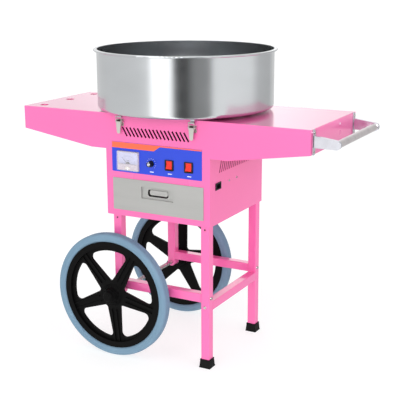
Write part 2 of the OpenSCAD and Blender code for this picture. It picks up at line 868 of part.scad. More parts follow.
module at_wheel(side) {
    on_axis() translate([left_cx, side * wheel_mid, axle_z]) rotate([side * -90, 0, 0]) children();
}

module tyre_front() {
    color("slategray") at_wheel(-1) tyre();
}

module tyre_back() {
    color("slategray") at_wheel(1) tyre();
}

module rim_front() {
    color([0.07, 0.07, 0.08]) at_wheel(-1) rim(front_phase);
}

module rim_back() {
    color([0.07, 0.07, 0.08]) at_wheel(1) rim(-back_phase);
}

module hub_cap_front() {
    color([0.07, 0.07, 0.08]) at_wheel(-1) hub_cap();
}

module hub_cap_back() {
    color([0.07, 0.07, 0.08]) at_wheel(1) hub_cap();
}

// ---- Drawer ----

// Open tray that hangs behind the drawer's front
module drawer_tray() {
    y0 = -hy - drawer_gap;
    x0 = drawer_x - tray_w / 2;
    on_axis() color("lightgray") difference() {
        box(x0, x0 + tray_w, y0, y0 + tray_d, tray_z, tray_z + tray_h);
        box(x0 + tray_t, x0 + tray_w - tray_t, y0 + tray_t, y0 + tray_d - tray_t,
            tray_z + tray_t, tray_z + tray_h + cut);
        front_plate(drawer_x, pull_z, y0 - cut, y0 + tray_t + cut)
            square([pull_w + 2, pull_h + 2], center = true);
    }
}

// Front plate with a pressed pull: a shallow pan, a finger hole and a rounded lip that fills
// most of it, which leaves a J-shaped gap at its left and lower edges
module drawer_front() {
    y_back = -hy - drawer_gap;
    y_front = y_back - drawer_front_t;
    pan = 5;
    lip_w = pull_hole_w - 9;
    lip_h = pull_hole_h - 6;
    on_axis() color("silver") difference() {
        union() {
            front_plate(drawer_x, drawer_z + drawer_front_h / 2, y_front, y_back)
                round_rect(drawer_front_w, drawer_front_h, 1.5);
            front_plate(drawer_x, pull_z, y_back - cut, y_front + pan + 1.2) round_rect(pull_w, pull_h, 3);
        }
        difference() {
            front_plate(drawer_x, pull_z, y_front - cut, y_front + pan) round_rect(pull_w - 4, pull_h - 4, 2);
            front_plate(drawer_x + 4.5, pull_z + 3, y_front + 0.8, y_front + pan)
                round_rect(lip_w, lip_h, 5);
        }
        difference() {
            front_plate(drawer_x, pull_z, y_front + pan - cut, y_front + pan + 3)
                round_rect(pull_hole_w, pull_hole_h, 7);
            front_plate(drawer_x + 4.5, pull_z + 3, y_front, y_front + pan + 3) round_rect(lip_w, lip_h, 5);
        }
    }
}

// Angles on the side walls that the tray slides on
module drawer_runners() {
    shelf_in = 36;
    stand = 26;
    top = tray_z - 0.4;
    wall_x = hx - sheet;
    y0 = -hy + sheet + 2;
    y1 = hy - 20;
    on_axis() color("gainsboro") for (side = [0, 1]) mirror([side, 0, 0]) {
        box(wall_x - shelf_in, wall_x, y0, y1, top - sheet, top);
        box(wall_x - sheet, wall_x, y0, y1, top, top + stand);
    }
}

// ---- Latches ----

// Places a front or back latch: its local origin is the lever's pivot, its front is -Y
module at_latch(x, side) {
    on_axis() translate([x, side * latch_y, latch_z]) mirror([0, side > 0 ? 1 : 0, 0]) children();
}

// Wall plate with two ears and the lever's pin
module latch_plate() {
    back = latch_y - hy;
    box(-ear_x - 1.5, ear_x + 1.5, back - 1.5, back, -14, 5.5);
    for (s = [-1, 1]) translate([s * (ear_x + 0.75) - 0.75, 0, 0]) rotate([90, 0, 90]) linear_extrude(1.5) {
        translate([0, -3]) square([back - 1, 6]);
        circle(3);
    }
    rod_x(-ear_x - cut, ear_x + cut, 0, 0, pin_r);
}

module latch_plates() {
    color("dimgray") for (x = [-latch_x, latch_x], side = [-1, 1]) at_latch(x, side) latch_plate();
}

// Lever: a roll round the pin, two cheeks that carry the bail, and a tongue that hangs down
module latch_lever(x, side) {
    half = lever_w / 2;
    cheek_t = 1.2;
    color("lightgray") at_latch(x, side) difference() {
        union() {
            rod_x(-half, half, 0, 0, 3.4);
            for (left = [-half, half - cheek_t]) translate([left, 0, 0]) rotate([90, 0, 90])
                linear_extrude(cheek_t) polygon([[-5.2, -8], [0.6, -8], [2.6, 0], [-3.4, 2], [-5.2, 0]]);
            translate([0, -3.7, 0]) rotate([90, 0, 0]) linear_extrude(1.5) {
                polygon([[-half, 0], [-half, -10], [-5.5, -lever_l + 5.5], [5.5, -lever_l + 5.5],
                    [half, -10], [half, 0]]);
                translate([0, -lever_l + 5.5]) circle(5.5);
            }
        }
        rod_x(-half - cut, half + cut, 0, 0, pin_r + 0.06);
        rod_x(-half - cut, half + cut, -bail_out, -bail_down, wire_r + 0.06);
    }
}

// Wire loop whose inturned ends sit in the lever's cheeks
module latch_bail(x, side) {
    top_y = -bail_out - bail_lean;
    top_z = -bail_down + bail_rise;
    tilt = atan(bail_lean / bail_rise);
    length = sqrt(bail_lean * bail_lean + bail_rise * bail_rise);
    color("silver") at_latch(x, side) {
        for (s = [-1, 1]) {
            translate([s * bail_x, -bail_out, -bail_down]) rotate([tilt, 0, 0])
                cylinder(h = length, r = wire_r);
            translate([s * bail_x, -bail_out, -bail_down]) sphere(wire_r);
            translate([s * bail_x, top_y, top_z]) sphere(wire_r);
            rod_x(s > 0 ? bail_x - 3 : -bail_x, s > 0 ? bail_x : -bail_x + 3, -bail_out, -bail_down, wire_r);
        }
        rod_x(-bail_x, bail_x, top_y, top_z, wire_r);
    }
}

module latch_lever_fl() {
    latch_lever(-latch_x, -1);
}

module latch_lever_fr() {
    latch_lever(latch_x, -1);
}

module latch_lever_bl() {
    latch_lever(-latch_x, 1);
}

module latch_lever_br() {
    latch_lever(latch_x, 1);
}

module latch_bail_fl() {
    latch_bail(-latch_x, -1);
}

module latch_bail_fr() {
    latch_bail(latch_x, -1);
}

module latch_bail_bl() {
    latch_bail(-latch_x, 1);
}

module latch_bail_br() {
    latch_bail(latch_x, 1);
}

// ---- Bowl ----

// Half section of a round pan: flat floor, rounded lower edge, upright wall
module pan_outline(r, z0, z1, edge) {
    translate([0, z0]) square([r - edge, z1 - z0]);
    translate([0, z0 + edge]) square([r, z1 - z0 - edge]);
    translate([r - edge, z0 + edge]) circle(edge);
}

module bowl_profile() {
    wall_r = bowl_d / 2;
    bead_r = 2.5;
    collar_h = 22;
    difference() {
        pan_outline(wall_r, bowl_z, bowl_top, bowl_edge_r);
        pan_outline(wall_r - bowl_sheet, bowl_z + bowl_sheet, bowl_top + cut, bowl_edge_r - bowl_sheet);
        square([bowl_hole_r, 2 * bowl_top]);
    }
    translate([bowl_hole_r - bowl_sheet / 2, bowl_z]) square([bowl_sheet, collar_h]);
    translate([wall_r - bowl_sheet, bowl_top - bowl_sheet])
        square([rim_d / 2 - bead_r - wall_r + bowl_sheet, bowl_sheet]);
    translate([rim_d / 2 - bead_r, bowl_top - bead_r]) circle(bead_r);
}

// Hook welded under the bowl's floor, in reach of a latch's bail
module bowl_catch() {
    out = 2.9;
    inner = 3.7;
    foot = bowl_z - latch_z;
    box(-6, 6, 2.2, inner, 11, foot);
    box(-6, 6, -out, inner, 11, 12.5);
    box(-6, 6, -out, -out + 1.5, 11, 16);
    box(-6, 6, 2.2, inner + 12, foot - 1, foot);
}

module bowl() {
    color("gainsboro") {
        on_axis() rotate_extrude($fn = 128) bowl_profile();
        for (x = [-latch_x, latch_x], side = [-1, 1]) at_latch(x, side) bowl_catch();
    }
}

module bowl_seat() {
    on_axis() color("dimgray") ring(126, 112, deck_z, bowl_z - 0.4);
}

// ---- Motor and spinner ----

// Plate that hangs below the deck on three rubber mounts
module motor_bracket() {
    arm_w = 24;
    pad_r = 14;
    on_axis() color("silver") translate([0, 0, bracket_z]) difference() {
        union() {
            cylinder(h = bracket_t, r = 62);
            for (a = mount_angles) rotate([0, 0, a]) {
                translate([0, -arm_w / 2, 0]) cube([mount_r, arm_w, bracket_t]);
                translate([mount_r, 0, 0]) cylinder(h = bracket_t, r = pad_r);
            }
        }
        rod_z(0, 0, -cut, bracket_t + cut, 15);
        for (a = mount_angles) {
            translate(polar(mount_r, a)) rod_z(0, 0, -cut, bracket_t + cut, bolt_r + 0.1);
            translate(polar(38, a + 60)) rod_z(0, 0, -cut, bracket_t + cut, 2.6);
        }
    }
}

// Rubber bushes with their through bolts
module motor_mounts() {
    head_r = 5.5;
    on_axis() color([0.1, 0.1, 0.1]) for (a = mount_angles) translate(polar(mount_r, a)) {
        rod_z(0, 0, bracket_z + bracket_t, wall_top, mount_d / 2);
        rod_z(0, 0, bracket_z - 8, deck_z + 1, bolt_r);
        rod_z(0, 0, deck_z, deck_z + 2.5, head_r);
        rod_z(0, 0, bracket_z - 5, bracket_z, head_r);
    }
}

// Motor shell with end plates that carry the shaft
module motor_case() {
    z0 = bracket_z - motor_l;
    fins = 24;
    on_axis() color("dimgray") difference() {
        union() {
            rod_z(0, 0, z0, bracket_z, motor_r);
            rod_z(0, 0, z0 - 8, z0 + cut, 16);
        }
        rod_z(0, 0, z0 + 10, bracket_z - 10, motor_r - 4);
        rod_z(0, 0, z0 - 4, bracket_z + cut, shaft_r + 0.05);
        for (i = [0 : fins - 1]) rotate([0, 0, i * 360 / fins]) translate([motor_r, 0, z0 + 14])
            cylinder(h = motor_l - 28, r = 1.6);
    }
}

module motor_rotor() {
    z0 = bracket_z - motor_l;
    on_axis() color("peru") {
        ring(34, shaft_r, z0 + 26, bracket_z - 36);
        ring(16, shaft_r, bracket_z - 34, bracket_z - 14);
    }
}

module motor_shaft() {
    on_axis() color("silver") {
        rod_z(0, 0, bracket_z - motor_l - 3, head_z + 6, shaft_r);
        ring(12, shaft_r - 0.01, head_z - 12, head_z - 0.02);
    }
}

// Two brass rings that carry current to the turning heater
module slip_rings() {
    on_axis() color("goldenrod") for (z = [7, 17]) ring(11, shaft_r, bracket_z + z, bracket_z + z + 6);
}

// Insulating block with two carbon brushes
module brush_holder() {
    on_axis() color("saddlebrown") difference() {
        union() {
            box(16, 38, -9, 9, bracket_z + bracket_t, bracket_z + 27);
            for (z = [8, 18]) box(11.3, 17, -3, 3, bracket_z + z, bracket_z + z + 4);
        }
        for (z = [8, 18]) rod_x(34, 39, 0, bracket_z + z + 2, 1.6);
    }
}

// Dish under the heater, screwed to the shaft's flange
module spinner_base() {
    on_axis() color("silver") difference() {
        union() {
            ring(head_r, shaft_r + 0.02, head_z, head_z + 2);
            ring(head_r, head_r - 1.5, head_z, head_z + 7);
            ring(18, shaft_r + 0.02, head_z, head_z + 5);
        }
        for (a = [0 : 60 : 300]) translate(polar(48, a)) rod_z(0, 0, head_z - cut, head_z + 3, 5);
    }
}

// Slotted heater band that the sugar leaves through
module spinner_head() {
    band_r = head_r - 4;
    slots = 36;
    on_axis() color("lightgray") difference() {
        ring(band_r, band_r - 1.2, head_z + 2, lid_z);
        for (i = [0 : slots - 1]) rotate([0, 0, i * 360 / slots])
            box(band_r - 3, band_r + 3, -0.8, 0.8, head_z + 9, lid_z - 3);
    }
}

// Lid on the band, dished into the well that sugar is poured into
module spinner_lid() {
    on_axis() color("lightgray") {
        rotate_extrude() polygon([[14, lid_z - 17], [15.5, lid_z - 17], [32, lid_z], [head_r, lid_z],
            [head_r, lid_z + 1.5], [31, lid_z + 1.5], [14, lid_z - 15.5]]);
        ring(15.5, 7, lid_z - 20, lid_z - 17);
    }
}

housing_shell();
top_deck();
base_plate();
back_panel();
control_panel();
meter_case();
meter_dial();
meter_window();
meter_needle();
switch_housings();
rocker_heat();
rocker_motor();
knob();
control_board();
power_inlet();
left_shelf();
left_shelf_top();
right_shelf();
handle_tube();
handle_brackets();
leg_front_left();
leg_front_right();
leg_back_left();
leg_back_right();
long_rails();
side_rail();
foot_caps();
screws();
axle();
axle_nuts();
tyre_front();
rim_front();
hub_cap_front();
tyre_back();
rim_back();
hub_cap_back();
drawer_tray();
drawer_front();
drawer_runners();
latch_plates();
latch_lever_fl();
latch_lever_fr();
latch_lever_bl();
latch_lever_br();
latch_bail_fl();
latch_bail_fr();
latch_bail_bl();
latch_bail_br();
bowl();
bowl_seat();
motor_bracket();
motor_mounts();
motor_case();
motor_rotor();
motor_shaft();
slip_rings();
brush_holder();
spinner_base();
spinner_head();
spinner_lid();
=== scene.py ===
import json
import math

import bmesh
import bpy
from mathutils import Matrix, Vector


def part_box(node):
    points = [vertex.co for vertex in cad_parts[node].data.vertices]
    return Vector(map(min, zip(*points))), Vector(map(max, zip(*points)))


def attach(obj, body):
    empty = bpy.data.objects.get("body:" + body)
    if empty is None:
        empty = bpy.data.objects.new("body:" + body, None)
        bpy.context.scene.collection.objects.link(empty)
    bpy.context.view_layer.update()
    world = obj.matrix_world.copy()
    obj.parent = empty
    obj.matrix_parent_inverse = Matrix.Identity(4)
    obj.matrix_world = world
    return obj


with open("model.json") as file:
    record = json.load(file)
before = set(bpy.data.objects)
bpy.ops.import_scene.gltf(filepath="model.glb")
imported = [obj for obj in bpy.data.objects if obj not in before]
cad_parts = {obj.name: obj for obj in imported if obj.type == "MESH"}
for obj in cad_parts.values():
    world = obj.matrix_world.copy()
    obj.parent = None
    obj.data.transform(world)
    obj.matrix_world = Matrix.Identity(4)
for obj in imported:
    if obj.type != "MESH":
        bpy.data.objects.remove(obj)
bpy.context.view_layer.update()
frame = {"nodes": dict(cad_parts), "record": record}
cad = frame["nodes"]
slot_of = {part["node"]: part["material_slot"] for part in frame["record"]["subparts"]}
mm = 0.001

# ---- Shader node helpers ----


def wire(tree, source, target):
    tree.links.new(source, target)


def node(tree, kind, settings=None, **inputs):
    made = tree.nodes.new(kind)
    for key, value in (settings or {}).items():
        setattr(made, key, value)
    for key, value in inputs.items():
        socket = made.inputs[key.replace("_", " ")]
        if isinstance(value, bpy.types.NodeSocket):
            wire(tree, value, socket)
        else:
            socket.default_value = value
    return made


# ---- Camera, floor and light ----

CAMERA_AT = (1.24216, -2.29146, 1.11115)
CAMERA_TURN = 28.32
CAMERA_DOWN = 14.44
CAMERA_ROLL = -0.17
CAMERA_LENS = 82.88
FLOOR_HALF = 30
FLOOR_GREY = (0.36, 0.375, 0.37)
FLOOR_GLOW = 0.7


def make_camera():
    data = bpy.data.cameras.new("camera")
    data.sensor_width = 36
    data.lens = CAMERA_LENS
    camera = bpy.data.objects.new("camera", data)
    turn = Matrix.Rotation(math.radians(CAMERA_TURN), 4, "Z")
    down = Matrix.Rotation(math.radians(90 - CAMERA_DOWN), 4, "X")
    roll = Matrix.Rotation(math.radians(CAMERA_ROLL), 4, "Z")
    camera.matrix_world = Matrix.Translation(CAMERA_AT) @ turn @ down @ roll
    bpy.context.scene.collection.objects.link(camera)
    bpy.context.scene.camera = camera


def make_floor():
    data = bpy.data.meshes.new("floor")
    corners = [(a * FLOOR_HALF, b * FLOOR_HALF, 0) for a, b in ((-1, -1), (1, -1), (1, 1), (-1, 1))]
    data.from_pydata(corners, [], [(0, 1, 2, 3)])
    floor = bpy.data.objects.new("floor", data)
    bpy.context.scene.collection.objects.link(floor)
    floor.visible_glossy = False
    mat = bpy.data.materials.new("floor")
    mat.use_nodes = True
    shader = mat.node_tree.nodes["Principled BSDF"]
    shader.inputs["Base Color"].default_value = (*FLOOR_GREY, 1)
    shader.inputs["Roughness"].default_value = 0.9
    shader.inputs["Specular IOR Level"].default_value = 0.2
    shader.inputs["Emission Color"].default_value = (1, 1, 1, 1)
    shader.inputs["Emission Strength"].default_value = FLOOR_GLOW
    data.materials.append(mat)


# Brightness of the studio by compass angle, for everything but the camera's own view:
# a bright strip and a dark screen stand side by side in front, and the rest is soft white
STUDIO = [(-180, 1.05), (-125, 1.1), (-109, 1.2), (-104, 2.4), (-80, 2.4), (-75, 0.05), (-60, 0.08),
          (-50, 0.42), (-31, 0.45), (-25, 1.4), (30, 1.3), (45, 0.85), (75, 0.75), (90, 1.0), (180, 1.0)]
STUDIO_LEVEL = 0.76
# Softboxes above the horizon: stops by compass angle, stops by height, and brightness
SOFTBOXES = {
    # Long and low behind the machine: the shelves' tops mirror it
    "back": ([(-180, 0), (85, 0), (103, 0.3), (109, 0.45), (114, 1), (121, 0.95), (126, 0.4),
              (132, 0.25), (150, 0.2), (172, 0)],
             [(-90, 0), (3, 0), (8, 1), (24, 1), (32, 0), (90, 0)], 0.75),
    # In front: it shows as the soft gleam inside the bowl
    "front": ([(-180, 0), (-88, 0), (-80, 1), (-52, 1), (-44, 0), (180, 0)],
              [(-90, 0), (4, 0), (9, 1), (22, 1), (26, 0), (90, 0)], 6.0),
}


def combine(tree, operation, first, second):
    made = node(tree, "ShaderNodeMath", {"operation": operation})
    for socket, value in zip(made.inputs, (first, second)):
        if isinstance(value, bpy.types.NodeSocket):
            wire(tree, value, socket)
        else:
            socket.default_value = value
    return made.outputs[0]


def by_angle(tree, angle, reach, stops):
    """The value at an angle, from (degrees, value) stops between -reach and reach degrees."""
    limit = math.radians(reach)
    share = node(tree, "ShaderNodeMapRange", Value=angle, From_Min=-limit, From_Max=limit)
    top = max(value for _, value in stops)
    ramp = tree.nodes.new("ShaderNodeValToRGB")
    elements = ramp.color_ramp.elements
    while len(elements) < len(stops):
        elements.new(0.5)
    for element, (degrees, value) in zip(elements, stops):
        element.position = (degrees + reach) / (2 * reach)
        element.color = (value / top, value / top, value / top, 1)
    wire(tree, share.outputs[0], ramp.inputs[0])
    return combine(tree, "MULTIPLY", ramp.outputs[0], top)


def make_world():
    world = bpy.data.worlds.new("studio")
    bpy.context.scene.world = world
    world.use_nodes = True
    tree = world.node_tree
    tree.nodes.clear()
    where = tree.nodes.new("ShaderNodeTexCoord")
    split = node(tree, "ShaderNodeSeparateXYZ", Vector=where.outputs["Generated"])
    turn = combine(tree, "ARCTAN2", split.outputs["Y"], split.outputs["X"])
    rise = node(tree, "ShaderNodeMath", {"operation": "ARCSINE"})
    wire(tree, split.outputs["Z"], rise.inputs[0])
    level = combine(tree, "MULTIPLY", by_angle(tree, turn, 180, STUDIO), STUDIO_LEVEL)
    for turn_stops, rise_stops, brightness in SOFTBOXES.values():
        box = combine(tree, "MULTIPLY", by_angle(tree, turn, 180, turn_stops),
                      by_angle(tree, rise.outputs[0], 90, rise_stops))
        level = combine(tree, "ADD", level, combine(tree, "MULTIPLY", box, brightness))
    around = node(tree, "ShaderNodeBackground", Strength=level)
    around.inputs["Color"].default_value = (1, 1, 1, 1)
    seen = node(tree, "ShaderNodeBackground", Color=(1, 1, 1, 1), Strength=1.0)
    path = tree.nodes.new("ShaderNodeLightPath")
    mix = tree.nodes.new("ShaderNodeMixShader")
    wire(tree, path.outputs["Is Camera Ray"], mix.inputs[0])
    wire(tree, around.outputs[0], mix.inputs[1])
    wire(tree, seen.outputs[0], mix.inputs[2])
    out = tree.nodes.new("ShaderNodeOutputWorld")
    wire(tree, mix.outputs[0], out.inputs["Surface"])


def soft_light(name, place, aim, size, power, colour=(1, 1, 1)):
    data = bpy.data.lights.new(name, "AREA")
    data.shape = "DISK"
    data.size = size
    data.energy = power
    data.color = colour
    light = bpy.data.objects.new(name, data)
    light.location = place
    light.rotation_euler = (Vector(aim) - Vector(place)).to_track_quat("-Z", "Y").to_euler()
    light.visible_glossy = False
    bpy.context.scene.collection.objects.link(light)


make_camera()
make_floor()
make_world()
soft_light("key", place=(-0.8, -3.3, 2.0), aim=(0, 0, 0.5), size=2.2, power=5)
soft_light("fill", place=(3.2, -1.2, 1.3), aim=(0, 0, 0.55), size=2.0, power=22, colour=(1.0, 0.78, 1.0))
bpy.context.scene.view_settings.view_transform = "Standard"

# ---- Material helpers ----


def place_of(tree, stretch=(1, 1, 1)):
    where = tree.nodes.new("ShaderNodeTexCoord")
    return node(tree, "ShaderNodeMapping", Vector=where.outputs["Object"], Scale=stretch).outputs[0]


def noise(tree, scale, detail=2.0, stretch=(1, 1, 1), rough=0.5):
    return node(tree, "ShaderNodeTexNoise", Vector=place_of(tree, stretch), Scale=scale,
                Detail=detail, Roughness=rough).outputs["Fac"]


def spread(tree, value, low, high):
    """A noise value, which lies mostly between 0.2 and 0.8, as a number from low to high."""
    made = node(tree, "ShaderNodeMapRange", Value=value, From_Min=0.2, From_Max=0.8,
                To_Min=low, To_Max=high)
    return made.outputs[0]


def tint(tree, factor, stops):
    ramp = tree.nodes.new("ShaderNodeValToRGB")
    wire(tree, factor, ramp.inputs[0])
    elements = ramp.color_ramp.elements
    while len(elements) < len(stops):
        elements.new(0.5)
    for element, (position, colour) in zip(elements, stops):
        element.position = position
        element.color = (*colour, 1)
    return ramp.outputs[0]


def relief(tree, layers):
    """Bump nodes in a chain: each layer is (height socket, distance in metres)."""
    normal = None
    for height, distance in layers:
        made = node(tree, "ShaderNodeBump", Height=height, Distance=distance, Strength=1.0)
        if normal is not None:
            wire(tree, normal, made.inputs["Normal"])
        normal = made.outputs[0]
    return normal


def shaded(colour):
    """A darker and a lighter version of a colour, for the clouding."""
    darker = tuple(0.93 * value for value in colour)
    lighter = tuple(min(1.0, 1.05 * value) for value in colour)
    return darker, lighter


MATERIALS = {}
EVEN = (1, 1, 1)
um = 0.000001


def surface(name, colours, rough, grain, metallic=0.0, cloud=4.0, blotch=60.0, stretch=EVEN, **constants):
    """A procedural material: clouded colour, uneven roughness and layered fine relief.

    colours is (dark, light); rough is (low, high); grain is a list of (scale, depth, stretch)."""
    made = bpy.data.materials.new(name)
    made.use_nodes = True
    tree = made.node_tree
    shader = tree.nodes["Principled BSDF"]
    colour = tint(tree, noise(tree, cloud, 3.0, stretch), [(0.2, colours[0]), (0.8, colours[1])])
    wire(tree, colour, shader.inputs["Base Color"])
    wire(tree, spread(tree, noise(tree, blotch, 3.0, stretch), *rough), shader.inputs["Roughness"])
    layers = [(noise(tree, scale, 2.0, pull), depth) for scale, depth, pull in grain]
    wire(tree, relief(tree, layers), shader.inputs["Normal"])
    shader.inputs["Metallic"].default_value = metallic
    for key, value in constants.items():
        shader.inputs[key.replace("_", " ")].default_value = value
    MATERIALS[name] = made
    return tree, shader


# ---- Materials of the slots ----

surface("pink_paint", shaded((0.88, 0.135, 0.40)), (0.26, 0.32), [(900, 3 * um, EVEN)],
        cloud=1.5, blotch=2.5, Coat_Weight=1.0, Coat_Roughness=0.05)
surface("panel_blue", shaded((0.008, 0.048, 0.60)), (0.3, 0.38), [(900, 10 * um, EVEN)],
        Coat_Weight=0.25, Coat_Roughness=0.15)
surface("meter_plastic", shaded((0.52, 0.44, 0.50)), (0.25, 0.35), [(700, 10 * um, EVEN)])
surface("dial_card", shaded((0.47, 0.48, 0.70)), (0.5, 0.65), [(1400, 10 * um, EVEN)])
surface("black_plastic", ((0.005, 0.005, 0.006), (0.010, 0.010, 0.011)), (0.3, 0.42),
        [(900, 20 * um, EVEN)], Specular_IOR_Level=0.35)
surface("red_rocker", shaded((0.80, 0.016, 0.004)), (0.2, 0.28), [(500, 10 * um, EVEN)],
        Coat_Weight=0.2, Coat_Roughness=0.08)
surface("circuit_board", ((0.02, 0.16, 0.05), (0.04, 0.26, 0.09)), (0.3, 0.45),
        [(300, 50 * um, EVEN)], cloud=60)
surface("brushed_tube", ((0.68, 0.63, 0.64), (0.82, 0.77, 0.78)), (0.24, 0.4),
        [(60, 30 * um, (1, 25, 1))], metallic=1, stretch=(1, 12, 1))
surface("chrome_plate", shaded((0.74, 0.74, 0.80)), (0.12, 0.26), [(250, 30 * um, EVEN)], metallic=1)
surface("black_rubber", ((0.002, 0.002, 0.002), (0.005, 0.005, 0.005)), (0.5, 0.7),
        [(500, 80 * um, EVEN)], Specular_IOR_Level=0.15)
surface("screw_steel", ((0.50, 0.48, 0.47), (0.70, 0.68, 0.67)), (0.2, 0.34),
        [(400, 40 * um, EVEN)], metallic=1, cloud=60)
surface("tyre_rubber", ((0.15, 0.25, 0.345), (0.19, 0.305, 0.40)), (0.6, 0.78),
        [(900, 60 * um, EVEN), (90, 100 * um, EVEN)], cloud=14, Specular_IOR_Level=0.25)
surface("wheel_plastic", ((0.002, 0.002, 0.002), (0.004, 0.0038, 0.0038)), (0.45, 0.6),
        [(700, 60 * um, EVEN), (40, 150 * um, EVEN)], Specular_IOR_Level=0.08)
surface("drawer_steel", ((0.38, 0.38, 0.365), (0.43, 0.43, 0.415)), (0.42, 0.52),
        [(90, 10 * um, (0.6, 1, 22))], metallic=0.35, stretch=(1, 1, 6))
surface("zinc_steel", ((0.46, 0.47, 0.46), (0.66, 0.66, 0.64)), (0.3, 0.5),
        [(300, 40 * um, EVEN)], metallic=1, cloud=30)
surface("latch_steel", ((0.52, 0.50, 0.46), (0.68, 0.66, 0.62)), (0.28, 0.45),
        [(120, 40 * um, (1, 1, 12))], metallic=0.9, stretch=(1, 1, 6))
surface("motor_paint", ((0.03, 0.03, 0.033), (0.06, 0.06, 0.065)), (0.35, 0.5), [(300, 80 * um, EVEN)])
surface("copper_iron", ((0.30, 0.12, 0.05), (0.55, 0.26, 0.12)), (0.3, 0.5),
        [(60, 400 * um, (1, 1, 20))], metallic=0.9, cloud=40)
surface("brass", shaded((0.72, 0.50, 0.18)), (0.2, 0.35), [(200, 50 * um, (1, 1, 12))], metallic=1)
surface("brush_block", ((0.10, 0.045, 0.02), (0.2, 0.09, 0.04)), (0.45, 0.6),
        [(400, 50 * um, EVEN)], cloud=80)
surface("spinner_alloy", ((0.62, 0.62, 0.63), (0.76, 0.76, 0.77)), (0.22, 0.36),
        [(120, 50 * um, EVEN)], metallic=1)
surface("clear_cover", ((0.90, 0.91, 1.0), (1, 1, 1)), (0.03, 0.07), [(30, 20 * um, EVEN)], Alpha=0.16)
# The bowl's brushing runs round its axis
bowl_tree, bowl_shader = surface("bowl_steel", ((0.60, 0.62, 0.635), (0.65, 0.67, 0.69)), (0.15, 0.19),
                                 [(220, 4 * um, (0.3, 0.3, 8)), (5, 250 * um, (1, 1, 0.3))],
                                 metallic=1, cloud=5, blotch=9, stretch=(1, 1, 3), Anisotropic=0.5)
brushing = node(bowl_tree, "ShaderNodeTangent", {"direction_type": "RADIAL", "axis": "Z"})
wire(bowl_tree, brushing.outputs[0], bowl_shader.inputs["Tangent"])

# ---- Finishes of the new pieces ----

# Dark metal: the latch rollers' own finish, and painted shade for the screw cross recesses, the zero
# screw's slot and the legs' screw holes
surface("dark_metal_and_shade", ((0.03, 0.02, 0.02), (0.07, 0.055, 0.05)), (0.3, 0.5),
        [(600, 40 * um, EVEN)], metallic=0.6)
surface("panel_orange", shaded((0.95, 0.13, 0.05)), (0.3, 0.38), [(900, 10 * um, EVEN)],
        Coat_Weight=0.25, Coat_Roughness=0.15)
surface("print_white", ((0.78, 0.80, 0.88), (0.88, 0.89, 0.94)), (0.35, 0.45), [(900, 10 * um, EVEN)])
# Dark grey for the meter's printed scale, also used for the painted shadow line along the meter skirt's
# top
surface("print_and_shadow_grey", ((0.10, 0.11, 0.16), (0.16, 0.17, 0.24)), (0.4, 0.55), [(900, 10 * um, EVEN)])
# Near-black with a faint red tint: painted shade for the sheet behind the side vents
surface("vent_shade_sheet", ((0.010, 0.006, 0.007), (0.022, 0.014, 0.016)), (0.6, 0.8),
        [(2500, 40 * um, (1, 1, 0.2)), (2500, 40 * um, (1, 0.2, 1))], Specular_IOR_Level=0.2)
surface("ceramic", shaded((0.72, 0.68, 0.60)), (0.4, 0.55), [(300, 40 * um, EVEN)])
surface("lead_red", shaded((0.55, 0.03, 0.02)), (0.35, 0.5), [(300, 40 * um, EVEN)])
surface("lead_black", shaded((0.02, 0.02, 0.02)), (0.35, 0.5), [(300, 40 * um, EVEN)])

# ---- CAD nodes: rounded edges and materials ----

# Width of the rounded edges in millimetres
EDGE = {"drawer_steel": 0.5, "wheel_plastic": 1.2, "black_rubber": 1.2, "chrome_plate": 1.0,
        "black_plastic": 0.5, "meter_plastic": 0.5, "red_rocker": 0.6, "clear_cover": 0.5}
EDGE_OTHER = 0.3
SHARP = math.radians(35)


def round_edges(piece, width):
    weld = piece.modifiers.new("weld", "WELD")
    weld.merge_threshold = 0.00002
    bevel = piece.modifiers.new("edges", "BEVEL")
    bevel.width = width * mm
    bevel.segments = 2
    bevel.limit_method = "ANGLE"
    bevel.angle_limit = SHARP
    bevel.use_clamp_overlap = True
    bevel.miter_outer = "MITER_ARC"
    normals = piece.modifiers.new("normals", "WEIGHTED_NORMAL")
    normals.keep_sharp = False
    normals.weight = 100


# Slots whose nodes get no bevel: round in the CAD model already, or folded sheet with crisp edges
NO_BEVEL = {"pink_paint", "bowl_steel"}
# Nodes whose finish isn't their slot's
FINISH = {"motor_bracket": "motor_paint"}

for name, piece in cad.items():
    slot = slot_of[name]
    piece.data.materials.clear()
    piece.data.materials.append(MATERIALS[FINISH.get(name, slot)])
    if slot not in NO_BEVEL:
        round_edges(piece, EDGE.get(slot, EDGE_OTHER))

# ---- New pieces, drawn in millimetres ----


def span(name):
    """A CAD node's lowest and highest corners at rest, in millimetres."""
    return [[value / mm for value in corner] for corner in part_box(name)]


def middle(name):
    low, high = span(name)
    return [(a + b) / 2 for a, b in zip(low, high)]


def add_piece(name, mesh, body, slot, finish=None):
    bmesh.ops.recalc_face_normals(mesh, faces=mesh.faces)
    mesh.transform(Matrix.Scale(mm, 4))
    data = bpy.data.meshes.new(name)
    mesh.to_mesh(data)
    mesh.free()
    piece = bpy.data.objects.new(name, data)
    bpy.context.scene.collection.objects.link(piece)
    data.materials.append(MATERIALS[finish or slot])
    data.shade_smooth()
    edges = piece.modifiers.new("edges", "EDGE_SPLIT")
    edges.split_angle = SHARP
    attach(piece, body)
    return piece


def moved(x, y, z, facing="up"):
    """Places something drawn along +Z: facing is up, front (-Y), back (+Y), right (+X) or left."""
    turn, axis = {"up": (0, "X"), "front": (90, "X"), "back": (-90, "X"),
                  "right": (90, "Y"), "left": (-90, "Y")}[facing]
    return Matrix.Translation((x, y, z)) @ Matrix.Rotation(math.radians(turn), 4, axis)


def skin(mesh, first, second):
    """Faces between two rings of vertices; a ring of one vertex is a point."""
    count = max(len(first), len(second))
    for k in range(count):
        j = (k + 1) % count
        corners = [first[k % len(first)], first[j % len(first)],
                   second[j % len(second)], second[k % len(second)]]
        corners = list(dict.fromkeys(corners))
        if len(corners) > 2:
            mesh.faces.new(corners)


